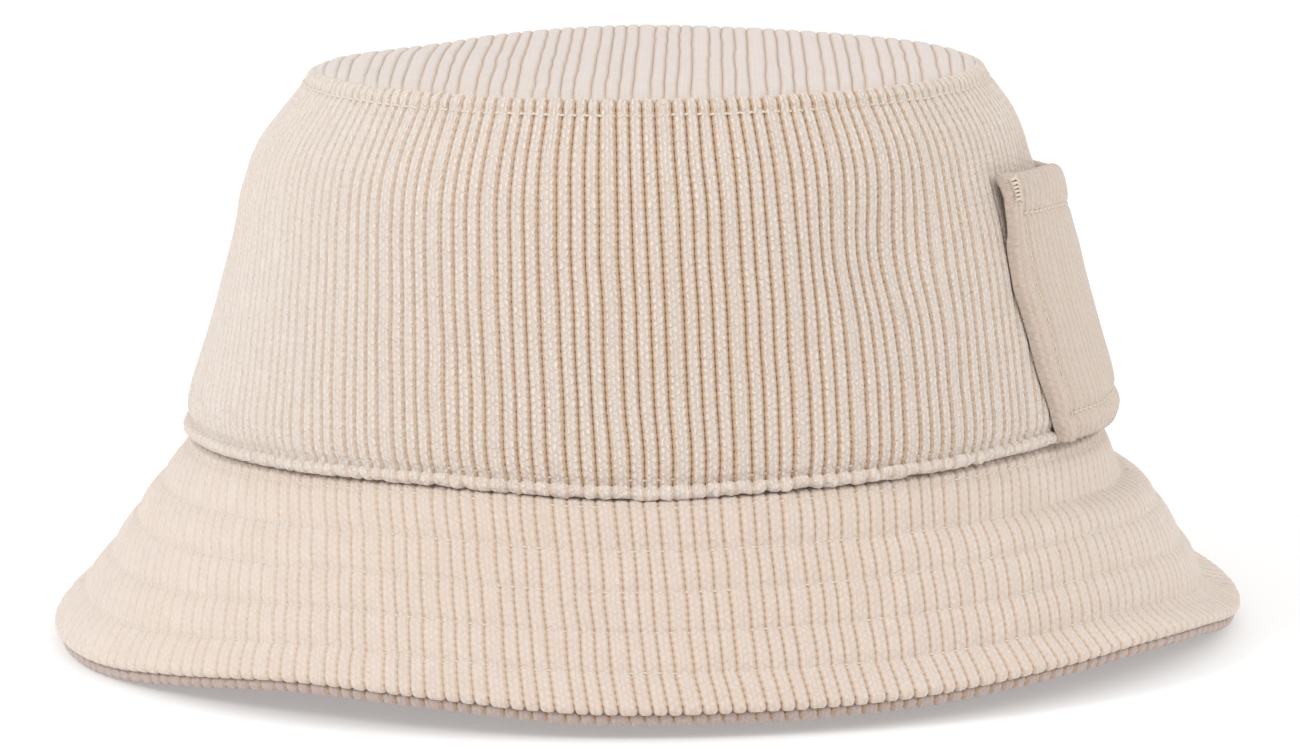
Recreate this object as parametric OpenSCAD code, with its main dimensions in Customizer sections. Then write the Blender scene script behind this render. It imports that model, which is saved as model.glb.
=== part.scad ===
// Corduroy bucket hat with a patch pocket on one side.
// The hat stands on the edge of its brim at z = 0, faces -Y, and has its pocket on +X.
// Every ring is turned round Z and then stretched front to back into an oval.

/* [Head] */
// Half width of the crown at its base seam, from side to side
head_half_w = 93; // [90:0.5:96]
// Front-to-back size over side-to-side size
head_ratio = 1.08; // [1.04:0.01:1.12]

/* [Crown] */
// Height of the side wall between its two seams
crown_h = 73.5; // [70:0.5:78]
// Half width of the seam round the top panel
top_half_w = 69; // [67:0.5:71]
// Inward lean of the wall for each unit of height
crown_lean = 0.267; // [0.25:0.005:0.28]
// Rise of the top panel at its middle
top_dome = 3.2; // [2:0.2:5]

/* [Brim] */
// Length of the brim along its slope, to the roll at the upper cloth's edge
brim_len = 43; // [41:0.5:46]
// Slope of the brim below level
brim_angle = 48.5; // [46.5:0.5:51]
// Rows of topstitching on the brim
brim_rows = 5; // [5]
// Distance of the first row from the base seam
first_row = 3; // [2.5:0.5:4]
// Distance between rows
row_pitch = 8.3; // [8:0.1:8.4]

/* [Cloth] */
// Thickness of the corduroy
cloth_t = 1.8; // [1.6:0.1:2]
// Thickness of the stiffening layer inside the brim
stiffener_t = 0.8; // [0.6:0.1:0.8]
// Thickness of the lining
lining_t = 0.5; // [0.4:0.1:0.6]
// Thickness of the sweatband
sweatband_t = 0.8; // [0.6:0.1:0.9]
// Height of the sweatband
sweatband_h = 30; // [26:1:34]
// Thickness of the sewing thread
thread_d = 0.5; // [0.4:0.1:0.6]

/* [Pocket] */
// Half of the turn round the crown that the pocket covers
pocket_half_turn = 29; // [26:0.5:30]
// Height of the pocket from the base seam to its mouth
pocket_h = 55; // [52:1:57]
// Gap between the crown and the pocket at the mouth
mouth_gap = 6.2; // [6:0.1:6.6]
// Depth of the hem at the mouth
hem_h = 8; // [7:0.5:9]

/* [Hidden] */

$fn = 144;

cream = [0.90, 0.84, 0.76];
cream_under = [0.86, 0.79, 0.71];
stiffener_white = [0.93, 0.92, 0.90];
lining_sand = [0.82, 0.75, 0.66];
thread_cream = [0.94, 0.90, 0.83];

gap = 0.1; // air left between two layers that lie on each other
thread_r = thread_d / 2;
thread_lift = thread_r + 0.05; // thread centre above the cloth it lies on
seam_turn = 0.05; // half of the turn left open at each side seam

// Crown: a leaning wall, tucked in at the base and rounded at the shoulder
tuck_in = 2; // how far the wall draws in at its base
tuck_h = 10; // height over which it does so
shoulder_h = 22.5; // height over which the shoulder rounds in
shoulder_power = 2.2; // sharpness of that rounding
shoulder_in = head_half_w + tuck_in - crown_lean * crown_h - top_half_w;

function crown_r(h) =
    head_half_w + tuck_in - crown_lean * h
    - tuck_in * pow(max(0, 1 - h / tuck_h), 2)
    - shoulder_in * pow(max(0, (h - crown_h + shoulder_h) / shoulder_h), shoulder_power);

slope_step = 0.5;
function crown_slope(h) = (crown_r(h + slope_step) - crown_r(h - slope_step)) / (2 * slope_step);

// Brim: a straight slope out from just under the wall's base
collar_h = 8; // seam allowances turned up inside the crown
allowance_t = 1; // each allowance, pressed thin
edge_band = 6; // length of the edge where the cloths thicken over their turned-in allowances
edge_ramp = 1; // length over which they thicken
edge_t = cloth_t + stiffener_t / 2; // thickness of each cloth there
edge_step = 0.8; // how far the under cloth reaches past the upper one
edge_rest = 0.75; // height of the under roll's centre, so that its lowest part is cut flat

collar_turn = 0.6; // length taken by the turn from slope to collar
under_first = 1.7; // start of the under cloth's slope, inside the upper cloth's

brim_r0 = head_half_w - cloth_t - gap;
brim_t = 2 * edge_t + gap; // whole brim, both cloths and what lies between
under_depth = brim_t - edge_t / 2;
under_len = brim_len + edge_step;
seam_z = edge_rest + gap + under_len * sin(brim_angle) + under_depth * cos(brim_angle);
top_z = seam_z + crown_h + gap;

// A point on the crown's wall, h above the base seam and depth inside its outer face
function wall(h, depth) =
    let (slope = crown_slope(h), len = sqrt(1 + slope * slope))
    [crown_r(h) - depth / len, seam_z + h + depth * slope / len];

// A point on the brim, s down its slope and depth below its upper face
function brim(s, depth) = [
    brim_r0 + s * cos(brim_angle) - depth * sin(brim_angle),
    seam_z - gap - s * sin(brim_angle) - depth * cos(brim_angle)
];

// Heights that follow the wall's curves between two ends, closer together where it curves
curve_steps = 5;
straight_steps = 5;
straight_h = crown_h - shoulder_h - tuck_h;
wall_heights = concat(
    [for (i = [0:curve_steps]) tuck_h * i / curve_steps],
    [for (i = [1:straight_steps - 1]) tuck_h + straight_h * i / straight_steps],
    [for (i = [0:curve_steps]) crown_h - shoulder_h * (1 - i / curve_steps)]
);
min_step = 0.8;
function heights(low, high) =
    concat([low], [for (h = wall_heights) if (h > low + min_step && h < high - min_step) h], [high]);

function reversed(list) = [for (i = [len(list) - 1:-1:0]) list[i]];

// Outline of a layer of the wall between two heights and two depths
function wall_band(low, high, outer, inner) =
    concat(
        [for (h = heights(low, high)) wall(h, outer)],
        [for (h = reversed(heights(low, high))) wall(h, inner)]
    );

// Depths of the layers inside the wall
collar_1 = cloth_t + gap;
collar_2 = collar_1 + allowance_t + gap;
lining_depth = cloth_t + 1.8;
sweatband_depth = collar_2 + allowance_t + gap + 0.1;
lining_low = collar_h + 1;
lining_high = crown_h - 3;

// Pocket: stands off the wall, further out towards its mouth
pocket_low = 0.8;
pocket_floor_t = 1.8;
base_gap = 2; // gap between crown and pocket just above the floor
gape_power = 1.5; // how late the gap widens towards the mouth
ridge_gap = 1.4; // clears the ridge at the crown's base
fold_gap = 0.35; // clears the crown beside the folded edges
fold_turn = 1.3; // turn taken by each folded edge
fold_low = 4;
edge_stitch_turn = 3.7; // stitching in from the folded edge
thread_turn = 0.35;

function stand_off(h) = base_gap + (mouth_gap - base_gap) * pow(h / pocket_h, gape_power);
function pocket_face(h, out) = wall(h, -stand_off(h) - cloth_t - out);
function pocket_back(h) = wall(h, -stand_off(h));

// Turns an outline round Z, part or all of the way, and stretches it into the oval.
// It goes round in sectors of a quarter turn or less, joined edge to edge.
module oval(sweep = 360, from = 0) {
    sectors = ceil(sweep / 90);
    turn = sweep / sectors;
    for (i = [0:sectors - 1])
        scale([1, head_ratio, 1])
            rotate_extrude(angle = turn, start = from + i * turn)
                children();
}

// side is -1 for the half that faces -Y and 1 for the half behind
module half_oval(side) {
    oval(180 - 2 * seam_turn, (side < 0 ? 180 : 0) + seam_turn)
        children();
}

// A six-sided thread at a point of an outline
module thread(p) {
    translate(p)
        circle(thread_r, $fn = 6);
}

// A row of thread all the way round, in four lengths that stop just short of each other
module thread_row(p) {
    for (from = [0:90:270])
        oval(90 - 2 * seam_turn, from + seam_turn)
            thread(p);
}

module crown_top() {
    edge_r = top_half_w - gap;
    steps = 6;
    dome_power = 3;
    color(cream)
        oval()
            polygon(concat(
                [for (i = [0:steps])
                    [edge_r * i / steps, top_z + cloth_t + top_dome * (1 - pow(i / steps, dome_power))]],
                [[edge_r + 0.3, top_z + cloth_t / 2], [edge_r, top_z]],
                [for (i = [steps - 1:-1:0])
                    [edge_r * i / steps, top_z + top_dome * (1 - pow(i / steps, dome_power))]]
            ));
}

module crown_side(side) {
    ridge_r = 1.3;
    ridge_h = 1.25;
    color(cream)
        half_oval(side)
            union() {
                polygon(wall_band(0, crown_h, 0, cloth_t));
                translate(wall(ridge_h, 0.5))
                    circle(ridge_r, $fn = 32);
            }
}

module crown_side_front() { crown_side(-1); }

module crown_side_back() { crown_side(1); }

// A brim cloth: a collar inside the crown, the slope, and an edge that is thicker over its
// turned-in allowance and ends in a roll
module brim_cloth(side, collar, upper, lower, edge_upper, first, len) {
    edge_lower = edge_upper + edge_t;
    half_oval(side)
        intersection() {
            union() {
                polygon([
                    wall(collar_h, collar), wall(0, collar),
                    brim(first, upper), brim(len - edge_band - edge_ramp, upper),
                    brim(len - edge_band, edge_upper), brim(len, edge_upper),
                    brim(len, edge_lower), brim(len - edge_band, edge_lower),
                    brim(len - edge_band - edge_ramp, lower), brim(first + collar_turn, lower),
                    wall(0, collar + allowance_t), wall(collar_h, collar + allowance_t)
                ]);
                translate(brim(len, edge_upper + edge_t / 2))
                    circle(edge_t / 2, $fn = 48);
            }
            square([2 * head_half_w, seam_z + crown_h]);
        }
}

module brim_upper(side) {
    color(cream)
        brim_cloth(side, collar_1, 0, cloth_t, 0, 0, brim_len);
}

module brim_upper_front() { brim_upper(-1); }

module brim_upper_back() { brim_upper(1); }

module brim_under(side) {
    color(cream_under)
        brim_cloth(side, collar_2, brim_t - cloth_t, brim_t, edge_t + gap, under_first, under_len);
}

module brim_under_front() { brim_under(-1); }

module brim_under_back() { brim_under(1); }

module brim_stiffener(side) {
    first = 2.4;
    last = brim_len - edge_band - 2.4;
    upper = (brim_t - stiffener_t) / 2;
    lower = upper + stiffener_t;
    color(stiffener_white)
        half_oval(side)
            polygon([brim(first, upper), brim(last, upper), brim(last, lower), brim(first, lower)]);
}

module brim_stiffener_front() { brim_stiffener(-1); }

module brim_stiffener_back() { brim_stiffener(1); }

module lining_top() {
    edge = wall(lining_high, lining_depth);
    steps = 4;
    rise = 1.6;
    color(lining_sand)
        oval()
            polygon(concat(
                [for (i = [0:steps])
                    [edge[0] * i / steps, edge[1] + gap + lining_t + rise * (1 - pow(i / steps, 2))]],
                [for (i = [steps:-1:0])
                    [edge[0] * i / steps, edge[1] + gap + rise * (1 - pow(i / steps, 2))]]
            ));
}

module lining_side(side) {
    color(lining_sand)
        half_oval(side)
            polygon(wall_band(lining_low, lining_high, lining_depth, lining_depth + lining_t));
}

module lining_side_front() { lining_side(-1); }

module lining_side_back() { lining_side(1); }

module sweatband() {
    color(lining_sand)
        oval()
            polygon(wall_band(0.5, sweatband_h, sweatband_depth + gap, sweatband_depth + gap + sweatband_t));
}

// Outer thread on the wall below the top seam, and its partner inside
module top_seam_stitch() {
    below_seam = 2.6;
    h = crown_h - below_seam;
    color(thread_cream) {
        thread_row(wall(h, -thread_lift));
        thread_row(wall(h, cloth_t + thread_lift));
    }
}

// Outer thread above the ridge, and its partner on the sweatband's inner face
module base_seam_stitch() {
    h = 3.4;
    color(thread_cream) {
        thread_row(wall(h, -thread_lift));
        thread_row(wall(h, sweatband_depth + gap + sweatband_t + thread_lift));
    }
}

module brim_stitch(row) {
    s = first_row + row_pitch * (row - 1);
    color(thread_cream) {
        thread_row(brim(s, -thread_lift));
        thread_row(brim(s, brim_t + thread_lift));
    }
}

module brim_stitch_1() { brim_stitch(1); }

module brim_stitch_2() { brim_stitch(2); }

module brim_stitch_3() { brim_stitch(3); }

module brim_stitch_4() { brim_stitch(4); }

module brim_stitch_5() { brim_stitch(brim_rows); }

// Panel, floor and the two folded edges, stretched as one piece
module pocket_panel() {
    face = heights(pocket_low, pocket_h);
    back = heights(pocket_low + pocket_floor_t, pocket_h);
    fold = heights(fold_low, pocket_h);
    color(cream)
        scale([1, head_ratio, 1]) {
            rotate_extrude(angle = 2 * pocket_half_turn, start = -pocket_half_turn)
                polygon(concat(
                    [for (h = face) pocket_face(h, 0)],
                    [for (h = reversed(back)) pocket_back(h)],
                    [wall(pocket_low + pocket_floor_t, -ridge_gap), wall(pocket_low, -ridge_gap)]
                ));
            for (from = [-pocket_half_turn, pocket_half_turn - fold_turn])
                rotate_extrude(angle = fold_turn, start = from)
                    polygon(concat(
                        [for (h = fold) pocket_face(h, -cloth_t / 2)],
                        [for (h = reversed(fold)) wall(h, -fold_gap)]
                    ));
        }
}

// A thread that runs up the pocket's face
module pocket_stitch(turn) {
    run = heights(pocket_low + 1, pocket_h - 1);
    color(thread_cream)
        oval(thread_turn, turn)
            polygon(concat(
                [for (h = run) pocket_face(h, 0.05)],
                [for (h = reversed(run)) pocket_face(h, 0.05 + thread_d)]
            ));
}

module pocket_stitch_front() { pocket_stitch(-pocket_half_turn + edge_stitch_turn); }

module pocket_stitch_back() { pocket_stitch(pocket_half_turn - edge_stitch_turn - thread_turn); }

// A thread across the pocket's face, between its two upright rows
module pocket_cross_stitch(h) {
    half = pocket_half_turn - edge_stitch_turn - 2 * thread_turn;
    color(thread_cream)
        oval(2 * half, -half)
            thread(pocket_face(h, thread_lift));
}

module pocket_hem_stitch() { pocket_cross_stitch(pocket_h - hem_h); }

module pocket_base_stitch() { pocket_cross_stitch(5.5); }

// A dense patch of thread over a folded edge, at a corner of the mouth
module bartack(from) {
    width_turn = 2.2;
    length = 5;
    raise = 0.6;
    top = pocket_h - 0.6;
    color(thread_cream)
        oval(width_turn, from)
            polygon([
                pocket_face(top - length, 0.05), pocket_face(top - length, raise),
                pocket_face(top, raise), pocket_face(top, 0.05)
            ]);
}

module pocket_bartack_front() { bartack(-pocket_half_turn + 0.4); }

module pocket_bartack_back() { bartack(pocket_half_turn - 2.6); }

crown_top();
crown_side_front();
crown_side_back();
brim_upper_front();
brim_upper_back();
brim_stiffener_front();
brim_stiffener_back();
brim_under_front();
brim_under_back();
lining_top();
lining_side_front();
lining_side_back();
sweatband();
top_seam_stitch();
base_seam_stitch();
brim_stitch_1();
brim_stitch_2();
brim_stitch_3();
brim_stitch_4();
brim_stitch_5();
pocket_panel();
pocket_stitch_front();
pocket_stitch_back();
pocket_hem_stitch();
pocket_base_stitch();
pocket_bartack_front();
pocket_bartack_back();
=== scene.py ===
import bmesh
import bpy
import math
import numpy as np
from mathutils import Matrix, Vector


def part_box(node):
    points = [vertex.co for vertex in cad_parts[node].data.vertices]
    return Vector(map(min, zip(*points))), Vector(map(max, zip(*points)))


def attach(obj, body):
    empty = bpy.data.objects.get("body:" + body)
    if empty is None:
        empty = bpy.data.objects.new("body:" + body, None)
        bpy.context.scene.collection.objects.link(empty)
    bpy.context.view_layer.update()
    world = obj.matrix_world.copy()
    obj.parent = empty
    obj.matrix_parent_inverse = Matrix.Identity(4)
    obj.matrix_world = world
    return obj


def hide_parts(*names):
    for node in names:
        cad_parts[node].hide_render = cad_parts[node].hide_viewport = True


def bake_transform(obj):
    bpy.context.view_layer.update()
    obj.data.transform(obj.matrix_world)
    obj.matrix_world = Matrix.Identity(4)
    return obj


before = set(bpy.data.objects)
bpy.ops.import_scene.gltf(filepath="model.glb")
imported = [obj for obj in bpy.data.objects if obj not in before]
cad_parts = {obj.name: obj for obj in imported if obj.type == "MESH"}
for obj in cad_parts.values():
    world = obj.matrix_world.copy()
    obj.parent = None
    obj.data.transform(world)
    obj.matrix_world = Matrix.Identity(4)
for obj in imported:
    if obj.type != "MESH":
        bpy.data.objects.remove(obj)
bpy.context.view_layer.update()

# The hat is built from layers of cloth. A point on the crown's wall is (turn, h, out): degrees round
# from +X, height above the base seam, and distance out from the wall's face. A point on the brim is
# (turn, s, out), with s down the slope. Lengths are in millimetres until the mesh is made.
MM = 0.001
FRONT, BACK = -90.0, 90.0
HALVES = [(FRONT, "front"), (BACK, "back")]


def box_mm(node):
    low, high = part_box(node)
    return np.array(low) / MM, np.array(high) / MM


# Sizes taken from the frame
BRIM_ROWS = 5
CLOTH_T = 1.8
GAP = 0.1
ROLL_R = 1.1
RIDGE_OUT = 0.94
FIRST_ROW = 3.0
crown_low, crown_high = box_mm("crown_side_front")
brim_low, brim_high = box_mm("brim_upper_front")
under_high = box_mm("brim_under_front")[1]
row_high = [box_mm(f"brim_stitch_{row}")[1] for row in range(1, BRIM_ROWS + 1)]

HEAD_RATIO = -brim_low[1] / brim_high[0]
SEAM_Z = crown_low[2]
CROWN_H = crown_high[2] - SEAM_Z
HEAD_R = crown_high[0] - RIDGE_OUT
TOP_R = box_mm("crown_top")[1][0] - 0.2
BRIM_SLOPE = math.atan2(row_high[0][2] - row_high[-1][2], row_high[-1][0] - row_high[0][0])
BRIM_COS, BRIM_SIN = math.cos(BRIM_SLOPE), math.sin(BRIM_SLOPE)
BRIM_R = HEAD_R - CLOTH_T - GAP
BRIM_Z = SEAM_Z - GAP
BRIM_T = 4.5
UNDER_MID = BRIM_T - ROLL_R
BRIM_LEN = (brim_high[0] - BRIM_R + ROLL_R * BRIM_SIN - ROLL_R) / BRIM_COS
UNDER_LEN = (under_high[0] - BRIM_R + UNDER_MID * BRIM_SIN - ROLL_R) / BRIM_COS
ROWS = [FIRST_ROW + (high[0] - row_high[0][0]) / BRIM_COS for high in row_high]
POCKET_H = 55.0
POCKET_CORNER_R = 92.2
POCKET_TURN = math.degrees(math.asin(box_mm("pocket_panel")[1][1] / HEAD_RATIO / POCKET_CORNER_R))

# How the soft hat has settled: it rests on the lowest parts of a wavy edge
LIFT = 3.35
LEAN = 0.5
EDGE_WAVE = [
    (-180, -2.5), (-165, -2.5), (-150, -2.1), (-139, -0.1), (-124, 2.5), (-110, 1.9), (-97, 0.2),
    (-80, 0.0), (-65, 0.5), (-50, 2.1), (-37, 3.0), (-25, 1.9), (-12, -0.8), (0, -1.8), (20, -0.5),
    (45, 2.2), (70, 1.2), (90, 0.4), (115, 2.0), (140, 1.8), (160, -1.6)
]
SEAM_WAVE = [
    (-180, 1.4), (-163, 1.8), (-139, 2.5), (-116, 3.0), (-92, 1.5), (-74, 2.2), (-54, 3.0),
    (-35, 3.8), (-18, 3.2), (0, 2.6), (30, 3.0), (60, 2.4), (90, 1.8), (120, 2.6), (150, 1.9)
]
TOP_WAVE = [
    (-180, 0.0), (-90, 0.2), (0, 0.0), (60, -0.3), (75, 0.0), (90, 0.4), (105, 0.2), (120, -0.5),
    (132, -1.4), (150, -1.3), (165, -0.6)
]


# ---------------------------------------------------------------- curves and noise

def ease(x):
    """0 below 0, 1 above 1, and smooth between."""
    x = np.clip(x, 0, 1)
    return x * x * (3 - 2 * x)


def hump(x):
    return np.exp(-x * x)


def lattice(i, j, seed):
    return np.modf(np.abs(np.sin(i * 127.1 + j * 311.7 + seed * 74.7)) * 43758.5453)[0]


def noise(x, y, seed):
    """Smooth noise from -1 to 1, with one random value at each pair of whole numbers."""
    x, y = np.broadcast_arrays(np.asarray(x, float), np.asarray(y, float))
    i, j = np.floor(x), np.floor(y)
    u, v = ease(x - i), ease(y - j)
    near = lattice(i, j, seed) * (1 - u) + lattice(i + 1, j, seed) * u
    far = lattice(i, j + 1, seed) * (1 - u) + lattice(i + 1, j + 1, seed) * u
    return 2 * (near * (1 - v) + far * v) - 1


def round_curve(points, turn):
    """The smooth closed curve through (degrees, value) points, at each turn."""
    at = np.array([p[0] for p in points], float)
    value = np.array([p[1] for p in points], float)
    at = np.concatenate([at - 360, at, at + 360])
    value = np.tile(value, 3)
    tangent = np.gradient(value, at)
    turn = np.asarray(turn, float)
    i = np.clip(np.searchsorted(at, turn) - 1, 0, len(at) - 2)
    span = at[i + 1] - at[i]
    u = (turn - at[i]) / span
    return (
        (2 * u**3 - 3 * u**2 + 1) * value[i] + (u**3 - 2 * u**2 + u) * span * tangent[i]
        + (3 * u**2 - 2 * u**3) * value[i + 1] + (u**3 - u**2) * span * tangent[i + 1]
    )


def arc(centre, radius, start, end, count):
    """Points round a centre in (a, out). 0 degrees points outward and 90 towards greater a."""
    angles = np.radians(np.linspace(start, end, count))
    return np.stack([centre[0] + radius * np.sin(angles), centre[1] + radius * np.cos(angles)], 1)


# ---------------------------------------------------------------- the hat's shape

TUCK_IN, TUCK_H = 2.0, 10.0
CROWN_SLOPE = 0.267
SHOULDER_H, SHOULDER_POWER = 22.5, 2.2
SHOULDER_IN = HEAD_R + TUCK_IN - CROWN_SLOPE * CROWN_H - TOP_R


def crown_r(h):
    tuck = TUCK_IN * np.maximum(0, 1 - h / TUCK_H)**2
    shoulder = SHOULDER_IN * np.maximum(0, (h - CROWN_H + SHOULDER_H) / SHOULDER_H)**SHOULDER_POWER
    return HEAD_R + TUCK_IN - CROWN_SLOPE * h - tuck - shoulder


# How far the worn-in wall lies inside its pattern, by height, on the left, at the front and back, and
# under the pocket
SOFT_LEFT = [
    (-2, 1.2), (3, 0.6), (7, 0.3), (11, 0.5), (17, 0.9), (25, 1.1), (40, 1.1), (44, 0.9), (48, 0.4),
    (52, 0.6), (56, 0.5), (60, 0.8), (64, 1.8), (68, 2.5), (71, 2.5), (74, 1.9)
]
SOFT_FRONT = [
    (-2, 1.0), (3, 0.7), (10, 0.8), (25, 0.9), (45, 0.9), (52, 1.2), (60, 1.6), (64, 1.9), (68, 2.4),
    (71, 2.4), (74, 1.9)
]
SOFT_POCKET = [
    (-2, 1.2), (3, 0.9), (8, 1.2), (15, 1.4), (25, 1.3), (35, 1.4), (45, 2.2), (50, 3.0), (55, 3.5),
    (60, 2.7), (64, 2.2), (68, 2.4), (71, 2.4), (74, 1.9)
]


def along_line(points, value):
    """The smooth curve through (value, amount) points, level beyond its ends."""
    at, amount = np.array(points, float).T
    fine = np.linspace(at[0], at[-1], 400)
    line = np.interp(fine, at, amount)
    window = np.hanning(23)
    line = np.convolve(np.pad(line, 11, mode="edge"), window / window.sum(), mode="valid")
    return np.interp(value, fine, line)


def side_shares(turn):
    """How much of a turn is on the pocket's side of the hat, and how much on the other."""
    toward = np.cos(np.radians(turn))
    return np.maximum(0, toward)**2, np.maximum(0, -toward)**2


def softened(turn, h):
    pocket_side, left_side = side_shares(turn)
    dent = 0.8 * hump((turn + 56) / 9) * hump((h - 44) / 12)
    slack = 0.35 * noise(turn / 24 + 9, h / 26, 3) * ease(h / 20) * ease((70 - h) / 15)
    return (
        along_line(SOFT_FRONT, h) * (1 - pocket_side - left_side) + along_line(SOFT_LEFT, h) * left_side
        + along_line(SOFT_POCKET, h) * pocket_side + dent + slack
    )


def oval_point(turn, r, z, shift):
    angle = np.radians(turn)
    return np.stack(np.broadcast_arrays(
        r * np.cos(angle) + shift, HEAD_RATIO * r * np.sin(angle), z), -1)


def on_wall(turn, h, out):
    step = 0.5
    slope = (crown_r(h + step) - softened(turn, h + step)
             - crown_r(h - step) + softened(turn, h - step)) / (2 * step)
    length = np.sqrt(1 + slope * slope)
    share = np.clip(h / CROWN_H, 0, 1)
    rise = LIFT + round_curve(SEAM_WAVE, turn) * (1 - share)**1.5 + round_curve(TOP_WAVE, turn) * share**3
    return oval_point(
        turn, crown_r(h) - softened(turn, h) + out / length,
        SEAM_Z + h - out * slope / length + rise, LEAN * np.clip(h / CROWN_H, 0, 1))


def on_brim(turn, s, out):
    """The brim hangs a little hollow, most on the left and under the pocket, and is full where it
    leaves the crown."""
    share = np.clip(s / BRIM_LEN, 0, 1.05)
    rise = LIFT + round_curve(SEAM_WAVE, turn) * (1 - share) + round_curve(EDGE_WAVE, turn) * share**1.4
    pocket_side, left_side = side_shares(turn)
    sag = (0.6 + 0.6 * left_side) * np.sin(np.pi * np.clip(share, 0, 1)**1.9)
    sag = sag + pocket_side * (
        1.8 * np.sin(np.pi * np.clip(share, 0, 1)**2.4) + 2.3 * hump((share - 0.88) / 0.1)
        + 2.7 * hump((share - 0.25) / 0.1))
    sag = sag + (1.4 * left_side + 2.3 * pocket_side) * hump((share - 0.11) / 0.13)
    sag = sag - (1.6 - 0.5 * left_side - 0.5 * pocket_side) * ease(s / 2.5) * (1 - ease((s - 2.5) / 11))
    flare = 1.3 * hump((turn + 157) / 14) * np.maximum(0, share)**6
    out = out - sag
    return oval_point(
        turn, BRIM_R + s * BRIM_COS + out * BRIM_SIN + flare,
        BRIM_Z - s * BRIM_SIN + out * BRIM_COS + rise, 0 * s)


TOP_EDGE_R = TOP_R - 1.9


def on_top(x, y, out):
    """A point of the top panel: its edge tucks in behind the wall's, and its middle is domed."""
    rho = np.sqrt(x * x + (y / HEAD_RATIO)**2) / TOP_EDGE_R
    inside = np.maximum(0, 1 - rho) * TOP_EDGE_R
    dome = -0.8 + 2.1 * (1 - np.exp(-inside / 2.0)) + 0.8 * (1 - rho * rho)
    slack = 0.5 * noise(x / 30 + 3, y / 34, 5) * ease(inside / 20)
    wave = round_curve(TOP_WAVE, np.degrees(np.arctan2(y / HEAD_RATIO, x))) * rho**2
    return np.stack(np.broadcast_arrays(
        x + LEAN, y, SEAM_Z + CROWN_H + dome + slack + wave + out + LIFT), -1)


# Length round the base seam from the middle of a half
_delta = np.radians(np.linspace(-90, 90, 1801))
_speed = HEAD_R * np.sqrt(np.cos(_delta)**2 + (HEAD_RATIO * np.sin(_delta))**2)
_arc = np.concatenate([[0], np.cumsum((_speed[1:] + _speed[:-1]) / 2 * np.diff(_delta))])
_arc -= _arc[len(_arc) // 2]
ARC_END = _arc[-1]
SEAM_GAP = 0.12


def turn_at(arc_length):
    """Degrees from the middle of a half, at a length round the base seam."""
    return np.interp(arc_length, _arc, np.degrees(_delta))


# ---------------------------------------------------------------- corduroy

# Wales come in groups of four, one wide and three narrow. A wale count rises by one with each wale,
# and is a whole number in the grooves. A group count is a whole number in the middle of a wide wale.
GROUP = [0.0, 0.304, 0.536, 0.768, 1.0]
WIDE_MM, NARROW_MM = 3.5, 2.65
SHOULDER_MM = 0.8
ACROSS = np.array([0, 0.08, 0.2, 0.38, 0.62, 0.8, 0.92])


def group_count(wale):
    group = np.floor(wale / 4)
    return group + np.interp(wale - 4 * group, range(5), GROUP) - GROUP[1] / 2


def wale_height(wale):
    """0 in a groove, 1 on top of a wale."""
    index = np.floor(wale)
    width = np.where(index % 4 == 0, WIDE_MM, NARROW_MM)
    side = np.minimum(wale - index, 1 - wale + index) * width
    return 1 - (1 - np.minimum(side / SHOULDER_MM, 1))**2.2


# How strongly the grooves show, by degrees round the hat, set by where the light falls: faint on the
# lit left, strongest at the front. It scales the wales' depth and nubs, and the painted shade in the
# grooves: how much of the tan ground shows, the dark holes, and the darkening between tufts.
GROOVE_SHADE_ROUND = [
    (-180, 0.0), (-150, 0.03), (-125, 0.42), (-98, 0.95), (-80, 1.0), (-63, 0.8), (-45, 0.55),
    (-25, 0.3), (0, 0.4), (45, 0.7), (90, 0.9), (135, 0.4)
]


def columns(low, high):
    return np.append((np.arange(low, high)[:, None] + ACROSS).ravel(), high)


CROWN_GRAIN = {FRONT: (16.4, 1.836), BACK: (-7.0, 0.3)}
BRIM_GRAIN = {FRONT: (12.4, 0.742), BACK: (-4.0, 0.55)}
UNDER_GRAIN = {FRONT: (-3.0, 0.2), BACK: (5.0, 0.7)}
CONE_R = 149.0


def crown_arc(half, group, h):
    """Length round the base seam of a group count at height h. The halves are cut with their wales
    nearly parallel, and eased into the top seam."""
    middle, count = CROWN_GRAIN[half]
    length = middle + (group - count) * 12.2 * (1 + 0.00315 * (h - 14))
    if half == FRONT:
        length = length - 2.7 * hump((length - 58) / 17) * hump((h - 44) / 11)
    wobble = 0.22 * noise(h / 9, group * 1.3, 11) + 0.3 * noise(h / 24, group / 3, 12)
    return length + wobble


def cone_arc(grain, group, s):
    """The same on the brim, whose halves lie flat as parts of a ring."""
    middle, count = grain
    width = 11.8 * (group - count)
    length = middle + CONE_R * np.arcsin(np.clip(width / (CONE_R + s), -0.95, 0.95))
    pulled = np.clip(0.07 + 0.0025 * length, -0.2, 0.12) * np.maximum(0, s - ROWS[-1])
    steps = sum(0.16 * noise(group * 2.1, row + 0.5, 21) * ease((s - row) / 0.8 + 0.5) for row in ROWS)
    wobble = 0.15 * noise(s / 7, group * 1.3, 13)
    return length + pulled + steps + wobble


def brim_arc(half, group, s):
    return cone_arc(BRIM_GRAIN[half], group, s)


def under_arc(half, group, s):
    return cone_arc(UNDER_GRAIN[half], group, s)


# ---------------------------------------------------------------- meshes

def in_scene(name, data):
    """A new object in the scene."""
    made = bpy.data.objects.new(name, data)
    bpy.context.scene.collection.objects.link(made)
    return made


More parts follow.
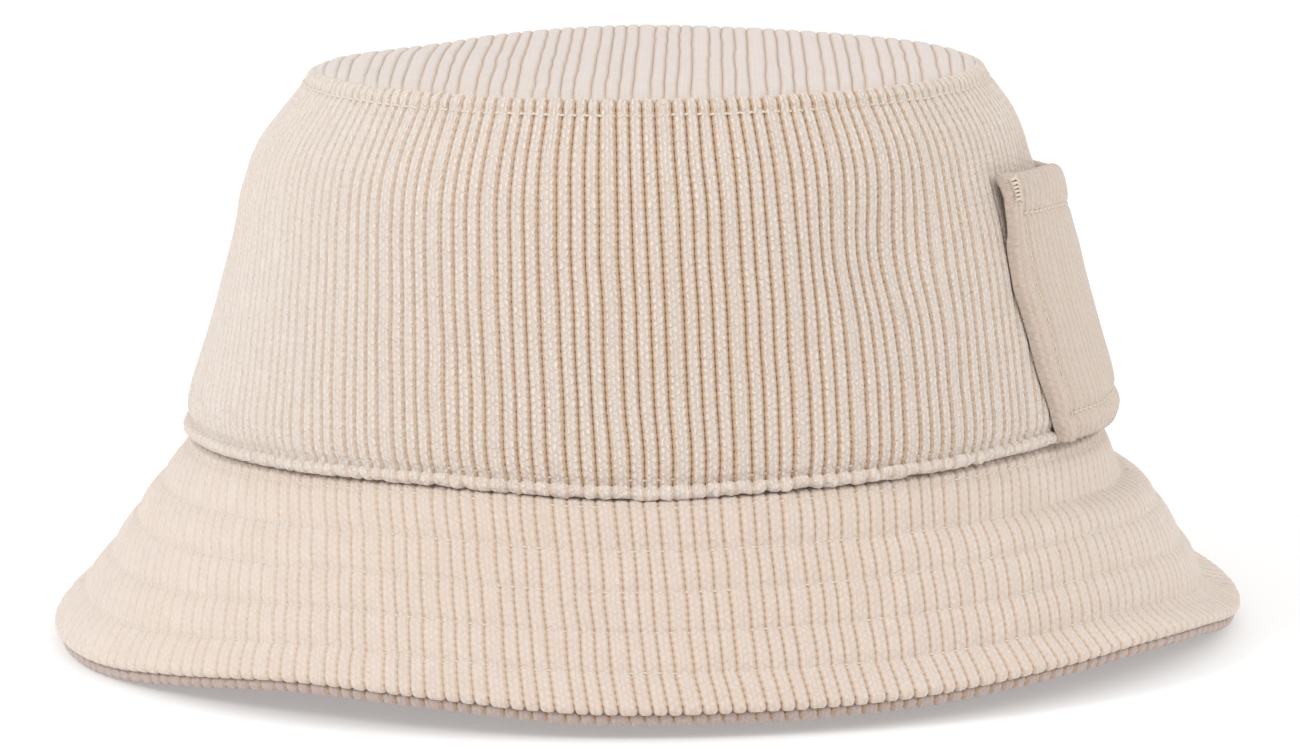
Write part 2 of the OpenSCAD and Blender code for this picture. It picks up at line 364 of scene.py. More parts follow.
def mesh_piece(name, points, faces, grain=None):
    """An object from points in millimetres. grain holds the wale count, the length along it, and the
    groove shade, which the cloth's material paints as shade in the grooves."""
    mesh = bpy.data.meshes.new(name)
    mesh.from_pydata((np.asarray(points) * MM).tolist(), [], faces)
    if grain is not None:
        layer = mesh.attributes.new("grain", "FLOAT_VECTOR", "POINT")
        layer.data.foreach_set("vector", np.asarray(grain, np.float32).ravel())
    mesh.validate()
    shape = bmesh.new()
    shape.from_mesh(mesh)
    bmesh.ops.recalc_face_normals(shape, faces=shape.faces)
    shape.to_mesh(mesh)
    shape.free()
    mesh.polygons.foreach_set("use_smooth", [True] * len(mesh.polygons))
    return in_scene(name, mesh)


def grid_faces(index, closed):
    """Faces over a grid of point numbers, which may repeat where columns were cut off."""
    after = np.roll(index, -1, axis=1)
    if not closed:
        index, after = index[:, :-1], after[:, :-1]
    quads = np.stack([index[:-1], index[1:], after[1:], after[:-1]], -1).reshape(-1, 4)
    faces = []
    for quad in quads.tolist():
        face = [p for i, p in enumerate(quad) if p != quad[i - 1]]
        if len(set(face)) > 2:
            faces.append(face)
    return faces


def tube_faces(index):
    """Faces round a closed outline, with both its ends capped."""
    return grid_faces(index, closed=True) + [index[0].tolist(), index[-1].tolist()]


def columns_within(across, end):
    """The columns that reach between -end and end, and one more on each side."""
    first = np.flatnonzero(across.max(1) > -end)[0] - 1
    last = np.flatnonzero(across.min(1) < end)[-1] + 2
    return slice(first, last)


def cut_off(across, wales, end):
    """The grid's point numbers, wale counts and places, with what lies beyond the ends cut off."""
    index = np.arange(across.size).reshape(across.shape)
    wale = np.repeat(wales[:, None], across.shape[1], 1)
    for row, line in enumerate(across.T):
        for beyond, edge, nearest in ((line > end, end, 0), (line < -end, -end, -1)):
            if beyond.any():
                index[beyond, row] = index[np.flatnonzero(beyond)[nearest], row]
                wale[beyond, row] = np.interp(edge, line, wales)
    return index, wale, np.clip(across, -end, end)


def kept(points, faces, grain):
    """Drops the points that no face uses."""
    used = sorted({p for face in faces for p in face})
    new = {p: i for i, p in enumerate(used)}
    return points[used], [[new[p] for p in face] for face in faces], grain[used]


class Section:
    """A closed outline of a layer, cut along the wales: points (a, out), each with the depth that
    the wales have there, a share of the groove shade, which sets the grooves' depth and their
    painted shade, how nubby the cloth is, and which part of the hat it is placed on."""

    def __init__(self):
        self.points, self.depth, self.opened, self.nubs, self.place = [], [], [], [], []

    def add(self, points, depth, place="wall", opened=1.0, nubs=0.0):
        points = np.asarray(points, float).reshape(-1, 2)
        self.points.append(points)
        self.depth.append(np.broadcast_to(np.asarray(depth, float), len(points)))
        self.opened += [opened] * len(points)
        self.nubs += [nubs] * len(points)
        self.place += [place] * len(points)
        return self

    def arrays(self, flip):
        points = np.vstack(self.points)
        ahead, behind = np.roll(points, -1, 0), np.roll(points, 1, 0)
        tangent = ahead - behind
        tangent /= np.maximum(np.linalg.norm(tangent, axis=1, keepdims=True), 1e-6)
        normal = np.stack([-tangent[:, 1], tangent[:, 0]], 1) * (-1 if flip else 1)
        run = np.concatenate([[0], np.cumsum(np.linalg.norm(np.diff(points, axis=0), axis=1))])
        return points, np.concatenate(self.depth), normal, run, np.array(self.place)


def corduroy_half(name, half, section, arc_of, flip=False):
    """Half a ring of corduroy, with a column of points along each wale and groove. Columns that run
    out over the side seam are cut off along it."""
    local, depth, normal, run, place = section.arrays(flip)
    wales = columns(-80, 80)
    group = group_count(wales)[:, None]
    a = np.clip(local[:, 0], 0, None)[None, :]
    length = arc_of(half, group, a)
    end = ARC_END - SEAM_GAP
    used = columns_within(length, end)
    index, wale, length = cut_off(length[used], wales[used], end)
    turn = half + turn_at(length)
    # The grooves' depth and painted shade, by where the light falls round the hat.
    opened = round_curve(GROOVE_SHADE_ROUND, turn) * np.array(section.opened)[None, :]
    fuzz = 1 + 0.12 * noise(run[None, :] / 1.6, np.floor(wale) * 3.7, 31)
    height = depth[None, :] * (wale_height(wale) * fuzz - 0.6) * (0.35 + 0.65 * opened)
    nubs = np.array(section.nubs)[None, :] * (0.25 + 0.75 * round_curve(GROOVE_SHADE_ROUND, turn))
    height = height + nubs * noise(wale * 1.9, run[None, :] / 1.8, 35)
    seam_dip = 0.7 * hump((end - np.abs(length)) / 1.1) * (depth[None, :] > 0)
    moved_a = local[None, :, 0] + normal[None, :, 0] * (height - seam_dip)
    moved_out = local[None, :, 1] + normal[None, :, 1] * (height - seam_dip)
    points = np.where(
        (place == "wall")[None, :, None], on_wall(turn, moved_a, moved_out),
        on_brim(turn, moved_a, moved_out))
    grain = np.stack([wale, np.broadcast_to(run, wale.shape), opened], -1)
    points, faces, grain = kept(points.reshape(-1, 3), tube_faces(index), grain.reshape(-1, 3))
    return mesh_piece(name, points, faces, grain)


def plain_ring(name, section, start, end, steps, wrinkle=None):
    """Part or all of a ring of plain cloth."""
    local, _, normal, run, place = section.arrays(False)
    whole = end - start >= 360
    turn = np.linspace(start, end, steps + 1)[:steps + (not whole), None]
    out = local[None, :, 1] + 0 * turn
    if wrinkle is not None:
        out = out + wrinkle(turn, local[None, :, 0])
    a = local[None, :, 0] + 0 * turn
    points = np.where(
        (place == "wall")[None, :, None], on_wall(turn, a, out), on_brim(turn, a, out))
    index = np.arange(out.size).reshape(out.shape)
    grain = np.stack([np.radians(turn) * HEAD_R + 0 * a, run[None, :] + 0 * a, 0 * a], -1)
    if whole:
        faces = grid_faces(np.vstack([index, index[:1]]), closed=True)
    else:
        faces = tube_faces(index)
    return mesh_piece(name, points.reshape(-1, 3), faces, grain.reshape(-1, 3))


# ---------------------------------------------------------------- stitches

STITCH, STITCH_GAP = 2.2, 0.45
THREAD_R = 0.24
THREAD_SIDES = 6
THREAD_RINGS = 7


class Stitches:
    """A group of stitches, each a thread that rises from the cloth, bows over it and goes back in."""

    def __init__(self):
        self.points, self.faces, self.grain = [], [], []
        self.count = 0

    def add(self, place, turn, a, out, along, across, length=STITCH, radius=THREAD_R, bow=0.3, face=1):
        """Stitches centred on arrays of turn and a. along and across are steps of a millimetre in
        (turn, a). face is -1 on a lower or inner face."""
        t = np.linspace(-1, 1, THREAD_RINGS)[None, :, None]
        angle = np.linspace(0, 2 * np.pi, THREAD_SIDES, endpoint=False)[None, None, :]
        thin = radius * np.sqrt(np.maximum(0.25, 1 - t**6))
        turn, a, out = (np.asarray(x, float).reshape(-1, 1, 1) for x in np.broadcast_arrays(turn, a, out))
        along = [np.asarray(x, float).reshape(-1, 1, 1) for x in along]
        across = [np.asarray(x, float).reshape(-1, 1, 1) for x in across]
        reach = t * length / 2
        side = thin * np.cos(angle)
        turn = turn + along[0] * reach + across[0] * side
        a = a + along[1] * reach + across[1] * side
        out = out + face * (bow * (1 - 2 * t**4) + thin * np.sin(angle))
        points = place(turn, a, out)
        made = points.shape[0]
        index = self.count + np.arange(made * THREAD_RINGS * THREAD_SIDES).reshape(
            made, THREAD_RINGS, THREAD_SIDES)
        for one in index:
            ring = np.vstack([one.T, one.T[:1]]).T
            self.faces += np.stack(
                [ring[:-1, :-1], ring[1:, :-1], ring[1:, 1:], ring[:-1, 1:]], -1).reshape(-1, 4).tolist()
            self.faces += [one[0].tolist(), one[-1].tolist()]
        self.points.append(points.reshape(-1, 3))
        grain = np.stack(np.broadcast_arrays(reach, radius * angle, 0 * reach), -1)
        self.grain.append(np.broadcast_to(grain, points.shape).reshape(-1, 3))
        self.count += made * THREAD_RINGS * THREAD_SIDES

    def ring(self, place, a, out, radius_there, face=1, phase=0.0):
        """A row all the way round."""
        round_mm = 2 * np.pi * radius_there * (1 + HEAD_RATIO) / 2
        count = int(round_mm / (STITCH + STITCH_GAP))
        turn = (np.arange(count) + phase) * 360 / count - 180
        stretch = np.sqrt(np.sin(np.radians(turn))**2 + (HEAD_RATIO * np.cos(np.radians(turn)))**2)
        per_mm = 180 / np.pi / (radius_there * stretch)
        height = a + 0.12 * noise(turn / 3, 0, 41)
        self.add(place, turn, height, out, (per_mm, 0), (0, 1), face=face)

    def piece(self, name):
        return mesh_piece(name, np.vstack(self.points), self.faces, np.vstack(self.grain))


# ---------------------------------------------------------------- materials

class Nodes:
    """Short forms for building a material's nodes."""

    def __init__(self, name):
        self.material = bpy.data.materials.new(name)
        self.material.use_nodes = True
        self.tree = self.material.node_tree
        self.shader = self.tree.nodes["Principled BSDF"]

    def node(self, kind, inputs=(), **settings):
        made = self.tree.nodes.new(kind)
        for key, value in settings.items():
            setattr(made, key, value)
        for key, value in dict(inputs).items():
            self.put(made.inputs[key], value)
        return made

    def put(self, socket, value):
        if isinstance(value, bpy.types.NodeSocket):
            self.tree.links.new(value, socket)
        else:
            socket.default_value = value

    def math(self, operation, a, b=0.0, c=0.0, clamp=False):
        return self.node("ShaderNodeMath", {0: a, 1: b, 2: c}, operation=operation,
                         use_clamp=clamp).outputs[0]

    def step(self, value, low, high):
        """0 at low, 1 at high, smooth between."""
        return self.node("ShaderNodeMapRange", {"Value": value, "From Min": low, "From Max": high},
                         interpolation_type="SMOOTHSTEP").outputs["Result"]

    def mix(self, share, a, b):
        made = self.node("ShaderNodeMix", data_type="RGBA")
        self.put(made.inputs[0], share)
        self.put(made.inputs[6], a)
        self.put(made.inputs[7], b)
        return made.outputs[2]

    def noise(self, vector, scale, detail=2.0, roughness=0.5):
        return self.node("ShaderNodeTexNoise", {
            "Vector": vector, "Scale": scale, "Detail": detail, "Roughness": roughness}).outputs["Fac"]

    def grain(self):
        """The three parts of the mesh's grain."""
        read = self.node("ShaderNodeAttribute", attribute_name="grain")
        parts = self.node("ShaderNodeSeparateXYZ", {0: read.outputs["Vector"]})
        return parts.outputs[0], parts.outputs[1], parts.outputs[2]

    def vector(self, x, y, z=0.0):
        return self.node("ShaderNodeCombineXYZ", {0: x, 1: y, 2: z}).outputs[0]

    def bump(self, height, distance, strength=1.0, normal=None):
        made = self.node("ShaderNodeBump", {"Height": height, "Distance": distance, "Strength": strength})
        if normal is not None:
            self.put(made.inputs["Normal"], normal)
        return made.outputs["Normal"]


def colour(red, green, blue):
    """A colour given as it looks on screen, 0 to 255."""
    def linear(value):
        value /= 255
        return value / 12.92 if value <= 0.04045 else ((value + 0.055) / 1.055)**2.4
    return (linear(red), linear(green), linear(blue), 1.0)


TUFT_MM = 1.48
GROOVE = colour(202, 170, 138)
# Painted shade: the dark of the holes in the ground weave at the bottom of each groove.
HOLE_SHADE = colour(116, 90, 66)


def tinted(tone, red, green, blue):
    """A colour with each part scaled."""
    return (tone[0] * red, tone[1] * green, tone[2] * blue, 1)


def corduroy(name, pile, nubs, fuzz, relief, hole_shade, width=0.19):
    """Cut pile in wales. Each narrow wale has two columns of tufts and each wide one three. Between
    them a tan ground weave shows, with painted shade as a dark hole at each thread, and the gaps
    between tufts are painted darker as shade. The grain's third part, the groove shade set by where
    the light falls, scales the ground, the holes and that shade. nubs is how strongly the tufts are
    bumped and the gaps between them shaded, fuzz how rough the fibres are, relief how strongly the
    ground shows, hole_shade how dark the painted holes are, and width the share of a wale that the
    ground takes on each side."""
    n = Nodes(name)
    wale, along, painted_groove_shade = n.grain()
    index = n.math("FLOOR", wale)
    within = n.math("SUBTRACT", wale, index)
    side = n.math("MINIMUM", within, n.math("SUBTRACT", 1.0, within))
    fine_at = n.vector(n.math("MULTIPLY", wale, 2.8), along)
    shift = n.node("ShaderNodeSeparateColor", {0: n.node("ShaderNodeTexNoise", {
        "Vector": fine_at, "Scale": 0.9, "Detail": 1.0}).outputs["Color"]})
    wide = n.math("LESS_THAN", n.math("FLOORED_MODULO", index, 4.0), 0.5)
    column_at = n.math("MULTIPLY", n.math("MULTIPLY_ADD", within, 1.28, -0.14), n.math("ADD", wide, 2.0))
    column_at = n.math("MULTIPLY_ADD", shift.outputs[0], 0.7, n.math("SUBTRACT", column_at, 0.35))
    column = n.math("FLOOR", column_at)
    row_at = n.math("MULTIPLY_ADD", column, 0.5, n.math("DIVIDE", along, TUFT_MM))
    row_at = n.math("MULTIPLY_ADD", index, 0.37, n.math("MULTIPLY_ADD", shift.outputs[1], 1.1, row_at))
    row = n.math("FLOOR", row_at)
    off_column = n.math("SUBTRACT", n.math("SUBTRACT", column_at, column), 0.5)
    off_row = n.math("SUBTRACT", n.math("SUBTRACT", row_at, row), 0.5)
    off = n.node("ShaderNodeVectorMath", {0: n.vector(off_column, off_row)}, operation="LENGTH")
    tuft = n.step(off.outputs["Value"], 0.58, 0.12)
    each = n.node("ShaderNodeTexWhiteNoise", {
        "Vector": n.vector(n.math("MULTIPLY_ADD", index, 5.0, column), row)}, noise_dimensions="2D")
    fibres = n.noise(fine_at, 3.0, 3.0, 0.65)
    patches = n.noise(fine_at, 0.2, 3.0)
    broad = n.noise(fine_at, 0.03, 2.0)
    beat = n.math("SINE", n.math("MULTIPLY", along, 2 * math.pi / TUFT_MM))
    ragged = n.math("MULTIPLY_ADD", n.math("SUBTRACT", fibres, 0.5), 0.25, side)
    ground = n.step(n.math("MULTIPLY_ADD", beat, -0.05, ragged), width, width - 0.12)
    # The tan ground is the cloth's own colour; how much of it shows follows the painted groove shade.
    ground = n.math("MULTIPLY", ground, n.math("MULTIPLY_ADD", painted_groove_shade, 0.8, 0.2))
    # Painted shade: a dark hole at each thread at the bottom of the groove.
    hole = n.math("MULTIPLY", n.step(beat, -0.1, 0.8), n.step(side, 0.08, 0.03))
    hole = n.math("MULTIPLY", hole, n.math("MULTIPLY", painted_groove_shade, hole_shade))
    tone = n.mix(n.step(patches, 0.35, 0.65), pile, tinted(pile, 0.97, 0.955, 0.945))
    tone = n.mix(n.math("MULTIPLY", n.step(broad, 0.4, 0.7), 0.4), tone, tinted(pile, 0.97, 0.94, 0.9))
    # A darker tone of the pile: painted shade between the tufts, and random darker tufts and fibres.
    shade = tinted(pile, 0.74, 0.70, 0.66)
    # Painted shade in the gaps between tufts, stronger where the groove shade is.
    between = n.math("MULTIPLY", n.math("SUBTRACT", 1.0, tuft), nubs)
    between = n.math("MULTIPLY", between, n.math("MULTIPLY_ADD", painted_groove_shade, 0.6, 0.4))
    tone = n.mix(n.math("MULTIPLY", between, 0.7), tone, shade)
    uneven = n.math("MULTIPLY", n.math("SUBTRACT", 1.0, each.outputs["Value"]), nubs * 0.15)
    tone = n.mix(uneven, tone, shade)
    tone = n.mix(n.math("MULTIPLY", n.step(fibres, 0.55, 0.3), fuzz * 0.3), tone, shade)
    tone = n.mix(n.math("MULTIPLY", ground, relief), tone, GROOVE)
    tone = n.mix(hole, tone, HOLE_SHADE)
    n.put(n.shader.inputs["Base Color"], tone)
    n.put(n.shader.inputs["Roughness"], n.math("MULTIPLY_ADD", fibres, 0.15, 0.82))
    n.put(n.shader.inputs["Specular IOR Level"], 0.12)
    n.put(n.shader.inputs["Sheen Weight"], 0.2)
    n.put(n.shader.inputs["Sheen Roughness"], 0.5)
    n.put(n.shader.inputs["Subsurface Weight"], 0.4)
    n.put(n.shader.inputs["Subsurface Radius"], (1.0, 0.7, 0.5))
    n.put(n.shader.inputs["Subsurface Scale"], 0.8 * MM)
    coarse = n.bump(tuft, 0.4 * MM, nubs)
    n.put(n.shader.inputs["Normal"], n.bump(fibres, 0.2 * MM, fuzz, coarse))
    return n.material


def woven(name, base, shade, pitch, twill=0.0):
    """A plain or twill weave, pitch millimetres from thread to thread."""
    n = Nodes(name)
    across, along, _ = n.grain()
    turn = 2 * math.pi / pitch
    slanted = n.math("MULTIPLY_ADD", along, twill, across)
    warp = n.math("SINE", n.math("MULTIPLY", slanted, turn))
    weft = n.math("SINE", n.math("MULTIPLY", along, turn))
    cloth = n.math("MULTIPLY_ADD", n.math("MULTIPLY", warp, weft), 0.5, 0.5)
    at = n.vector(across, along)
    mottle = n.noise(at, 0.35, 3.0)
    share = n.math("MULTIPLY_ADD", cloth, 0.35, n.math("MULTIPLY", n.step(mottle, 0.35, 0.75), 0.35))
    n.put(n.shader.inputs["Base Color"], n.mix(share, base, shade))
    n.put(n.shader.inputs["Roughness"], n.math("MULTIPLY_ADD", mottle, 0.2, 0.7))
    n.put(n.shader.inputs["Specular IOR Level"], 0.2)
    n.put(n.shader.inputs["Normal"], n.bump(cloth, 0.08 * MM, 0.8))
    return n.material


def sewing_thread(name, base, shade):
    """Two plies twisted round each other."""
    n = Nodes(name)
    along, around, _ = n.grain()
    twist = n.math("MULTIPLY_ADD", along, 7.0, n.math("MULTIPLY", around, 8.0))
    ply = n.math("MULTIPLY_ADD", n.math("SINE", twist), 0.5, 0.5)
    n.put(n.shader.inputs["Base Color"], n.mix(ply, shade, base))
    n.put(n.shader.inputs["Roughness"], n.math("MULTIPLY_ADD", ply, -0.15, 0.6))
    n.put(n.shader.inputs["Sheen Weight"], 0.2)
    n.put(n.shader.inputs["Normal"], n.bump(ply, 0.06 * MM, 0.8))
    return n.material


CROWN_CLOTH = corduroy(
    "corduroy_crown", colour(229, 218, 209), nubs=0.85, fuzz=0.7, relief=0.85, hole_shade=0.6, width=0.24)
# A darker copy of the crown's pile: painted shade on the top panel.
TOP_CLOTH_SHADED = corduroy(
    "corduroy_top_shaded", colour(212, 201, 194), nubs=0.3, fuzz=0.8, relief=0.6, hole_shade=0.05)
BRIM_CLOTH = corduroy(
    "corduroy_brim", colour(222, 208, 197), nubs=0.5, fuzz=0.9, relief=0.65, hole_shade=0.3, width=0.17)
# A darker copy of the brim's pile for the underside: painted shade, as the underside faces down out of the
# light.
UNDER_CLOTH_SHADED = corduroy(
    "corduroy_under_shaded", colour(188, 173, 167), nubs=0.4, fuzz=0.8, relief=0.8, hole_shade=0.2)
# A darker copy of the crown's pile: painted shade on the pocket.
POCKET_CLOTH_SHADED = corduroy(
    "corduroy_pocket_shaded", colour(211, 196, 184), nubs=0.6, fuzz=0.9, relief=0.4, hole_shade=0.1)
LINING = woven("lining_weave", colour(214, 196, 174), colour(186, 166, 142), 0.45)
BAND = woven("band_twill", colour(220, 204, 184), colour(178, 156, 130), 0.8, twill=1.0)
INTERLINING = woven("interlining_weave", colour(238, 236, 230), colour(214, 210, 202), 0.9)
THREAD = sewing_thread("thread_twist", colour(226, 214, 200), colour(200, 182, 160))


def finish_piece(piece, material, node, body="hat"):
    piece.data.materials.append(material)
    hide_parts(node)
    if body:
        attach(piece, body)
    return piece


# ---------------------------------------------------------------- crown

WALE_DEPTH = 0.75
BASE_STITCH_H = 3.5
TOP_STITCH_H = CROWN_H - 2.6


def crown_side(half, name, node):
    """The wall, from the ridge that covers the base seam to the edge turned in at the top seam."""
    ridge = arc((1.1, 0.1), 1.25, -110, 65, 14)
    h = np.concatenate([
        np.arange(2.3, 7.5, 0.5), np.arange(7.5, CROWN_H - 6, 1.25),
        np.arange(CROWN_H - 6, CROWN_H - 0.4, 0.5)])
    out = 0.25 * hump((h - CROWN_H + 1.2) / 0.7) - 0.45 * hump((h - 3.0) / 0.8)
    out -= 0.15 * hump((h - TOP_STITCH_H) / 0.8)
    top = arc((CROWN_H - 0.5, -0.75), 0.8, 30, 130, 6)
    depth = WALE_DEPTH * (1 - 0.4 * hump((h - BASE_STITCH_H) / 0.7) - 0.2 * hump((h - TOP_STITCH_H) / 0.7))
    wall = np.stack([h, out], 1)
    inner = [(h, -CLOTH_T) for h in np.linspace(CROWN_H - 1, 0.4, 9)]
    section = Section().add(ridge, 0.4, opened=0.25, nubs=0.5).add(wall, depth)
    section.add(top, WALE_DEPTH).add(inner, 0)
    piece = corduroy_half(name, half, section, crown_arc)
    finish_piece(piece, CROWN_CLOTH, node)
    return piece


TOP_GROUP_MM = 11.2
TOP_TWIST = 0.0105


def crown_top():
    """The top panel, with its wales front to back."""
    edge = TOP_EDGE_R
    wales = columns(-40, 40)
    middle = group_count(wales)[:, None] * TOP_GROUP_MM - 0.2
    outer = np.sin(np.linspace(-np.pi / 2, np.pi / 2, 111))
    inner = np.linspace(0.97, -0.97, 15)
    t = np.concatenate([outer, inner])[None, :]
    face = np.concatenate([np.ones(len(outer)), np.zeros(len(inner))])[None, :]
    limit = edge - 0.04

    def half_chord(x):
        return HEAD_RATIO * np.sqrt(edge**2 - np.clip(x, -limit, limit)**2)

    x = middle + 0 * t
    for _ in range(3):
        y = t * half_chord(x)
        bend = 0.00022 * middle * (half_chord(0.0) - np.abs(y)) * (np.abs(middle) / edge)**2
        x = middle + TOP_TWIST * y + bend + 0.2 * noise(y / 11, middle / 3, 17)
    used = columns_within(x, limit)
    index, wale, x = cut_off(x[used], wales[used], limit)
    y = t * half_chord(x)
    fuzz = 1 + 0.08 * noise(y / 2.1, np.floor(wale) * 3.7, 33)
    height = 0.5 * (wale_height(wale) * fuzz - 0.6) * face - CLOTH_T * (1 - face)
    points = on_top(x, y, height)
    # Painted groove shade on the top panel, faint on its lit left side.
    top_groove_shade = 0.2 + 0.5 * ease((x + 62) / 30)
    grain = np.stack([wale, y + 0 * wale, top_groove_shade], -1)
    points, faces, grain = kept(points.reshape(-1, 3), tube_faces(index), grain.reshape(-1, 3))
    piece = mesh_piece("crown_top_panel", points, faces, grain)
    finish_piece(piece, TOP_CLOTH_SHADED, "crown_top")


# ---------------------------------------------------------------- brim

def quilting(s):
    """How the cloth swells between the rows of stitching and is drawn in along them."""
    swell = 0 * s
    for start, end in zip(ROWS, ROWS[1:] + [BRIM_LEN + 2]):
        inside = (s > start) & (s < end)
        share = np.clip((s - start) / (end - start), 0, 1)
        swell = swell + np.where(inside, 0.35 * np.sin(np.pi * share), 0)
    drawn = sum(0.28 * hump((s - row) / 0.9) for row in ROWS)
    return swell - drawn


def row_flattening(s):
    return 1 - sum(0.25 * hump((s - row) / 0.7) for row in ROWS)


def slope_stations(start, end):
    """Distances down the slope, closer together beside the rows of stitching."""
    stations = [s for s in np.arange(start, end, 1.0) if min(abs(s - row) for row in ROWS) > 1.3]
    for row in ROWS:
        stations += [row + step for step in (-1.2, -0.8, -0.4, 0, 0.4, 0.8, 1.2)]
    return np.array(sorted(s for s in stations if start <= s <= end) + [end])


def brim_upper(half, name, node):
    s = slope_stations(0.4, BRIM_LEN)
    face = np.stack([s, quilting(s) * ease((BRIM_LEN - s) / 3)], 1)
    roll = arc((BRIM_LEN, -ROLL_R), ROLL_R, 18, 175, 9)
    lower = [(s, -2 * ROLL_R) for s in np.linspace(BRIM_LEN - 1.5, BRIM_LEN - 6, 4)]
    lower += [(s, -CLOTH_T) for s in np.linspace(BRIM_LEN - 7.5, 1.2, 7)]
    collar_in = [(0.2, -2.9), (4.0, -2.9), (8.0, -2.9)]
    collar_out = [(8.0, -1.95), (4.0, -1.95), (0.0, -1.95)]
    section = Section().add(collar_out, 0).add(face, WALE_DEPTH * 0.6 * row_flattening(s), "brim")
    section.add(roll, np.linspace(0.9, 0.5, 9), "brim").add(lower, 0, "brim").add(collar_in, 0)
    piece = corduroy_half(name, half, section, brim_arc)
    finish_piece(piece, BRIM_CLOTH, node)


def brim_under(half, name, node):
    s = slope_stations(1.9, UNDER_LEN)
    face = np.stack([s, -BRIM_T - 0.7 * quilting(s) * ease((UNDER_LEN - s) / 3)], 1)
    roll = arc((UNDER_LEN, -UNDER_MID), ROLL_R, 162, 5, 9)
    upper = [(s, -BRIM_T + 2 * ROLL_R) for s in np.linspace(UNDER_LEN - 1.5, UNDER_LEN - 7, 4)]
    upper += [(s, -BRIM_T + CLOTH_T) for s in np.linspace(UNDER_LEN - 8.5, 1.8, 7)]
    collar_out = [(0.2, -3.05), (4.0, -3.05), (8.0, -3.05)]
    collar_in = [(8.0, -3.95), (4.0, -3.95), (0.0, -3.95)]
    section = Section().add(collar_in, 0).add(face, WALE_DEPTH * 0.8 * row_flattening(s), "brim")
    section.add(roll, np.linspace(1.1, 0.8, 9), "brim").add(upper, 0, "brim").add(collar_out, 0)
    piece = corduroy_half(name, half, section, under_arc, flip=True)
    finish_piece(piece, UNDER_CLOTH_SHADED, node)


def stiffener(half, name, node):
    start, end = 2.6, BRIM_LEN - 8.6
    upper = [(s, -2.0) for s in np.linspace(start, end, 8)]
    lower = [(s, -2.5) for s in np.linspace(end, start, 8)]
    section = Section().add(upper, 0, "brim").add(lower, 0, "brim")
    piece = plain_ring(name, section, half - 89.9, half + 89.9, 120)
    finish_piece(piece, INTERLINING, node)


# ---------------------------------------------------------------- inside

def lining_side(half, name, node):
    heights = np.linspace(9.2, CROWN_H - 3.1, 26)
    section = Section().add([(h, -3.62) for h in heights], 0).add([(h, -4.0) for h in heights[::-1]], 0)

    def wrinkle(turn, h):
        return -0.5 * (1 + noise(turn / 7, h / 30, 51)) * ease((h - 12) / 20) * ease((CROWN_H - 4 - h) / 12)

    piece = plain_ring(name, section, half - 89.8, half + 89.8, 180, wrinkle)
    finish_piece(piece, LINING, node)


def lining_top():
    rings = 26
    rim = on_wall(np.array(0.0), np.array(CROWN_H - 3.2), np.array(-4.4))
    rim_r, rim_z = float(rim[0]) - LEAN, float(rim[2])
    share = np.concatenate([np.linspace(0.02, 1, rings), np.linspace(1, 0.02, rings)])[None, :]
    under = np.concatenate([np.zeros(rings), np.ones(rings)])[None, :]
    turn = np.linspace(0, 360, 181)[:-1, None]
    z = rim_z + 1.2 - 0.7 * under + 1.4 * (1 - share**2) + 0.35 * noise(
        share * np.cos(np.radians(turn)) * 3, share * np.sin(np.radians(turn)) * 3, 53)
    points = oval_point(turn, rim_r * share, z, LEAN)
    index = np.arange(points[..., 0].size).reshape(points.shape[:2])
    faces = grid_faces(np.vstack([index, index[:1]]), closed=False)
    faces += [index[:, 0].tolist(), index[:, -1].tolist()]
    grain = np.stack([points[..., 0], points[..., 1], 0 * points[..., 0]], -1)
    piece = mesh_piece("lining_top_panel", points.reshape(-1, 3), faces, grain.reshape(-1, 3))
    finish_piece(piece, LINING, "lining_top")


BAND_H = 30.0
BAND_FACE = -5.25


def sweatband():
    """A band with a turned edge along its top, its foot sewn over the base seam."""
    outer = [(h, -4.45) for h in np.linspace(0.8, BAND_H - 0.6, 16)]
    top = arc((BAND_H - 0.6, -4.95), 0.5, 20, 160, 5)
    inner = [(BAND_H - 2.0, BAND_FACE - 0.1), (BAND_H - 3.2, BAND_FACE + 0.1)]
    inner += [(h, BAND_FACE) for h in np.linspace(BAND_H - 4.5, 5, 14)]
    inner += [(BASE_STITCH_H, BAND_FACE + 0.15), (2.2, BAND_FACE - 0.05)]
    foot = arc((0.9, -4.9), 0.42, 190, 350, 5)
    section = Section().add(outer, 0).add(top, 0).add(inner, 0).add(foot, 0)
    piece = plain_ring("sweatband_tape", section, -180, 180, 360)
    finish_piece(piece, BAND, "sweatband")


def hat_stitches():
    top = Stitches()
    top.ring(on_wall, TOP_STITCH_H, -0.25, TOP_R + 2)
    top.ring(on_wall, TOP_STITCH_H, -CLOTH_T - 0.25, TOP_R, face=-1)
    finish_piece(top.piece("top_seam_thread"), THREAD, "top_seam_stitch")
    base = Stitches()
    base.ring(on_wall, BASE_STITCH_H, -0.75, HEAD_R)
    base.ring(on_wall, BASE_STITCH_H, BAND_FACE - 0.05, HEAD_R - 5, face=-1)
    finish_piece(base.piece("base_seam_thread"), THREAD, "base_seam_stitch")
    for number, row in enumerate(ROWS, 1):
        quilted = Stitches()
        radius = BRIM_R + row * BRIM_COS
        quilted.ring(on_brim, row, -0.58, radius, phase=0.3 * number)
        quilted.ring(on_brim, row, -BRIM_T + 0.25, radius - 3, face=-1, phase=0.3 * number)
        finish_piece(quilted.piece(f"brim_thread_{number}"), THREAD, f"brim_stitch_{number}")


# ---------------------------------------------------------------- pocket

EDGE_TURN = 3.7
BASE_CREASE = 5.5
HEM = 8.0
POCKET_MM = HEAD_R * HEAD_RATIO * math.pi / 180
POCKET_T = 1.8
SIDE_BOW = [(0, 0.4), (7, 1.5), (14, 2.3), (25, 2.4), (32, 3.2), (42, 2.0), (52, 0.0), (57, -0.3)]


